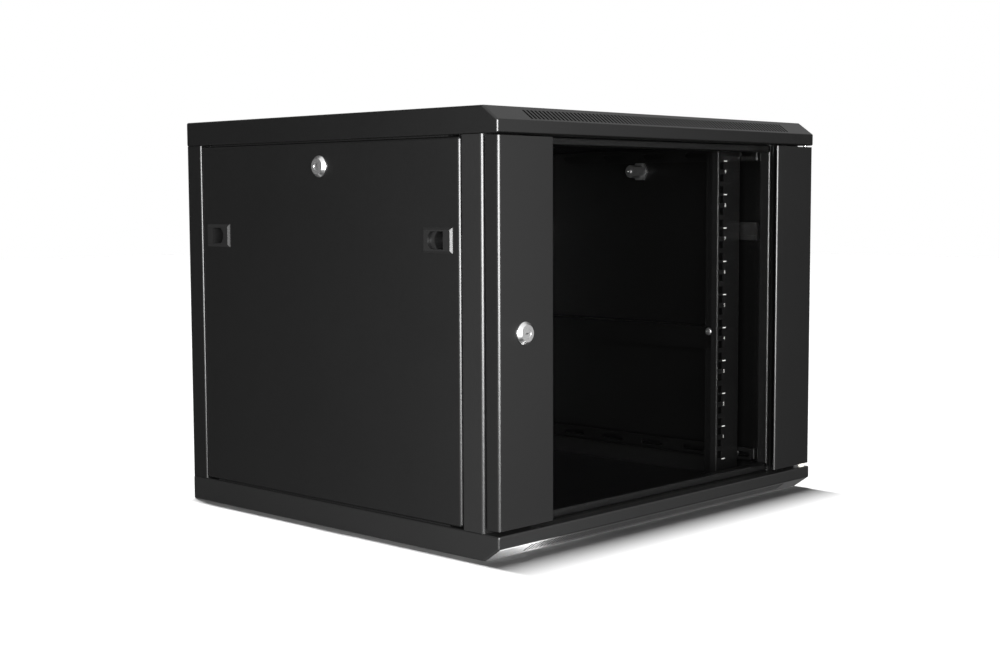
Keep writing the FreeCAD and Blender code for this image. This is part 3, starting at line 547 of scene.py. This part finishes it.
def studioWorld():
    # What the coat mirrors: a bright wall on the camera's side that fades at its ends, a ceiling and a wall behind
    world = bpy.data.worlds.new("studioWorld")
    scene.world = world
    world.use_nodes = True
    world.cycles_visibility.diffuse = False
    tree = world.node_tree
    tree.nodes.clear()
    facing = addNode(tree, "ShaderNodeTexCoord").outputs["Generated"]
    wall = None
    for inward, dark, full in studio["wallEnds"]:
        away = addNode(tree, "ShaderNodeVectorMath", {"operation": "DOT_PRODUCT"}, {1: inward}, {0: facing})
        end = addNode(tree, "ShaderNodeMapRange", {},
                      {"From Min": dark, "From Max": full, "To Min": 0.0, "To Max": studio["wallLight"]},
                      {"Value": away.outputs["Value"]})
        if wall:
            end = addNode(tree, "ShaderNodeMath", {"operation": "MINIMUM"}, {}, {0: wall.outputs[0], 1: end.outputs[0]})
        wall = end
    room = wall
    for facingWay, dark, full, strength in studio["roomGlows"]:
        towards = addNode(tree, "ShaderNodeVectorMath", {"operation": "DOT_PRODUCT"}, {1: facingWay}, {0: facing})
        glow = addNode(tree, "ShaderNodeMapRange", {},
                       {"From Min": dark, "From Max": full, "To Min": 0.0, "To Max": strength},
                       {"Value": towards.outputs["Value"]})
        room = addNode(tree, "ShaderNodeMath", {"operation": "MAXIMUM"}, {}, {0: room.outputs[0], 1: glow.outputs[0]})
    light = addNode(tree, "ShaderNodeBackground", {}, {"Color": (1, 1, 1, 1)}, {"Strength": room.outputs[0]})
    seen = addNode(tree, "ShaderNodeBackground", {}, {"Color": (1, 1, 1, 1), "Strength": studio["backdrop"]})
    path = addNode(tree, "ShaderNodeLightPath")
    mix = addNode(tree, "ShaderNodeMixShader", {}, {}, {0: path.outputs["Is Camera Ray"], 1: light.outputs[0]})
    tree.links.new(seen.outputs[0], mix.inputs[2])
    addNode(tree, "ShaderNodeOutputWorld", {}, {}, {"Surface": mix.outputs[0]})


softboxes = {
    # name: bearing from the front left corner, in degrees from the left towards the front
    "bearings": {"leftBox": 28, "cameraBox": 49, "frontBox": 70},
    "distance": 1.9,
    "middle": 0.42,             # height
    "aim": 0.24,                # height on the corner that they face
    "size": (0.75, 0.85),
    "watts": 60.0,
}
frontLeftCorner = Vector((cadBox[0][0], cadBox[0][1], softboxes["aim"]))


def areaLight(name, place, target, width, height, watts):
    light = bpy.data.lights.new(name, "AREA")
    light.shape = "RECTANGLE"
    light.size = width
    light.size_y = height
    light.energy = watts
    light.spread = math.pi
    holder = bpy.data.objects.new(name, light)
    scene.collection.objects.link(holder)
    holder.location = place
    holder.rotation_euler = (Vector(target) - Vector(place)).to_track_quat("-Z", "Y").to_euler()
    return holder


def softbox(name, bearing):
    turn = math.radians(bearing)
    place = frontLeftCorner + Vector((-math.cos(turn), -math.sin(turn), 0)) * softboxes["distance"]
    place.z = softboxes["middle"]
    return areaLight(name, place, frontLeftCorner, *softboxes["size"], softboxes["watts"])


def floorLights(onlyFloor, notFloor):
    strip = studio["floorLight"]
    below = (strip["place"][0], strip["place"][1], 0)
    overFloor = areaLight("overFloor", strip["place"], below, *strip["size"], strip["watts"])
    overFloor.rotation_euler = (0, 0, 0)        # straight down, its long side along the cabinet's depth
    overFloor.light_linking.receiver_collection = onlyFloor
    fill = studio["floorFill"]
    overAll = areaLight("floorFill", (0, 0, fill["height"]), (0, 0, 0), *fill["size"], fill["watts"])
    overAll.light_linking.receiver_collection = onlyFloor
    glow = studio["floorGlow"]
    floorGlow = areaLight("floorGlow", glow["place"], glow["target"], *glow["size"], glow["watts"])
    floorGlow.light_linking.receiver_collection = notFloor
    floorGlow.light_linking.blocker_collection = notFloor
    floorGlow.visible_camera = False


floor = paleFloor()
studioWorld()
onlyFloor = bpy.data.collections.new("floorOnly")
onlyFloor.objects.link(floor)
notFloor = bpy.data.collections.new("cabinetOnly")
for thing in scene.objects:
    if thing.type == "MESH" and thing is not floor:
        notFloor.objects.link(thing)
for name, bearing in softboxes["bearings"].items():
    softbox(name, bearing).light_linking.receiver_collection = notFloor
floorLights(onlyFloor, notFloor)
print("stage: floor and lights")


# Camera at the height of the cabinet, off its left front corner

viewpoint = {
    "place": (-1.46782, -1.38993, 0.38627),
    "yaw": 46.334,              # to the right of straight ahead
    "pitch": -4.941,
    "roll": -0.217,
    "lens": 55.82,              # on a sensor 36 mm wide
    "sensor": 36,
    "farthest": 50,
}


def addCamera():
    yaw, pitch, roll = (math.radians(viewpoint[k]) for k in ("yaw", "pitch", "roll"))
    ahead = Vector((math.sin(yaw) * math.cos(pitch), math.cos(yaw) * math.cos(pitch), math.sin(pitch)))
    right = Vector((math.cos(yaw), -math.sin(yaw), 0))
    up = right.cross(ahead)
    rolledRight = right * math.cos(roll) + up * math.sin(roll)
    rolledUp = up * math.cos(roll) - right * math.sin(roll)
    data = bpy.data.cameras.new("camera")
    data.lens = viewpoint["lens"]
    data.sensor_width = viewpoint["sensor"]
    data.clip_end = viewpoint["farthest"]
    camera = bpy.data.objects.new("camera", data)
    scene.collection.objects.link(camera)
    turn = Matrix((rolledRight, rolledUp, -ahead)).transposed().to_4x4()
    camera.matrix_world = Matrix.Translation(viewpoint["place"]) @ turn
    scene.camera = camera


addCamera()
scene.view_settings.view_transform = "Standard"
print("stage: camera")
